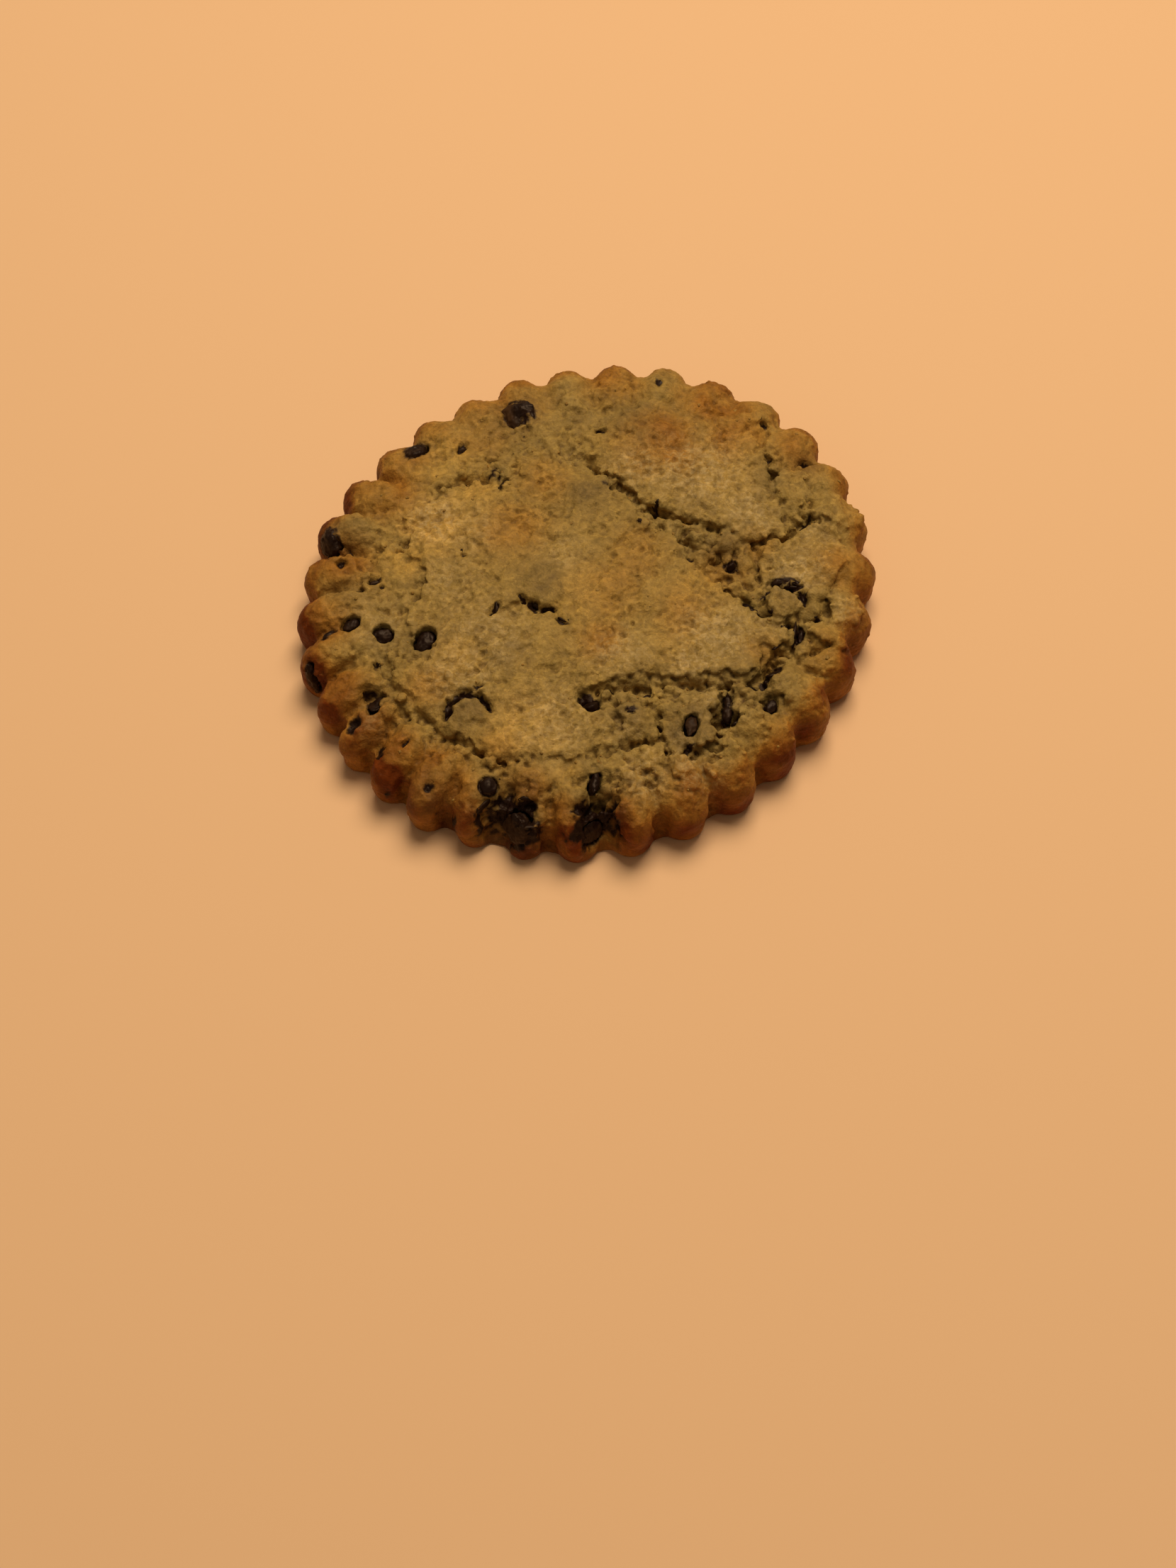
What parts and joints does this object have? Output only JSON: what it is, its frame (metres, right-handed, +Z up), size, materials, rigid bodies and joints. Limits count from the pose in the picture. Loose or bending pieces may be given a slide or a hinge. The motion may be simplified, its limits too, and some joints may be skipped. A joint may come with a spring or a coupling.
{
  "type": "chocolate chip cookie",
  "caption": "Round baked chocolate chip cookie with a fluted edge and a cracked, crumbly top; lies flat on a plate, tray or table as food.",
  "frame": {"origin": "centre of the flat underside, under the middle of the bounding box", "axes": "+Z up through the cracked top crust, +X to the right and +Y to the back as the cookie is seen in its main view"},
  "size_m": [0.093, 0.093, 0.0127],
  "materials": {
    "baked_dough": "baked shortbread crust, matt and granular",
    "chocolate": "dark chocolate, melted and set again, soft sheen"
  },
  "bodies": {
    "root": {"dough": "baked_dough", "chip_01": "chocolate", "chip_02": "chocolate", "chip_03": "chocolate", "chip_04": "chocolate", "chip_05": "chocolate", "chip_06": "chocolate", "chip_07": "chocolate", "chip_08": "chocolate", "chip_09": "chocolate", "chip_10": "chocolate", "chip_11": "chocolate", "chip_12": "chocolate", "chip_13": "chocolate", "chip_14": "chocolate", "chip_15": "chocolate", "chip_16": "chocolate", "chip_17": "chocolate", "chip_18": "chocolate", "chip_19": "chocolate", "chip_20": "chocolate", "chip_21": "chocolate", "chip_22": "chocolate", "chip_23": "chocolate", "chip_24": "chocolate", "chip_25": "chocolate", "chip_26": "chocolate", "chip_27": "chocolate"}
  },
  "joints": []
}
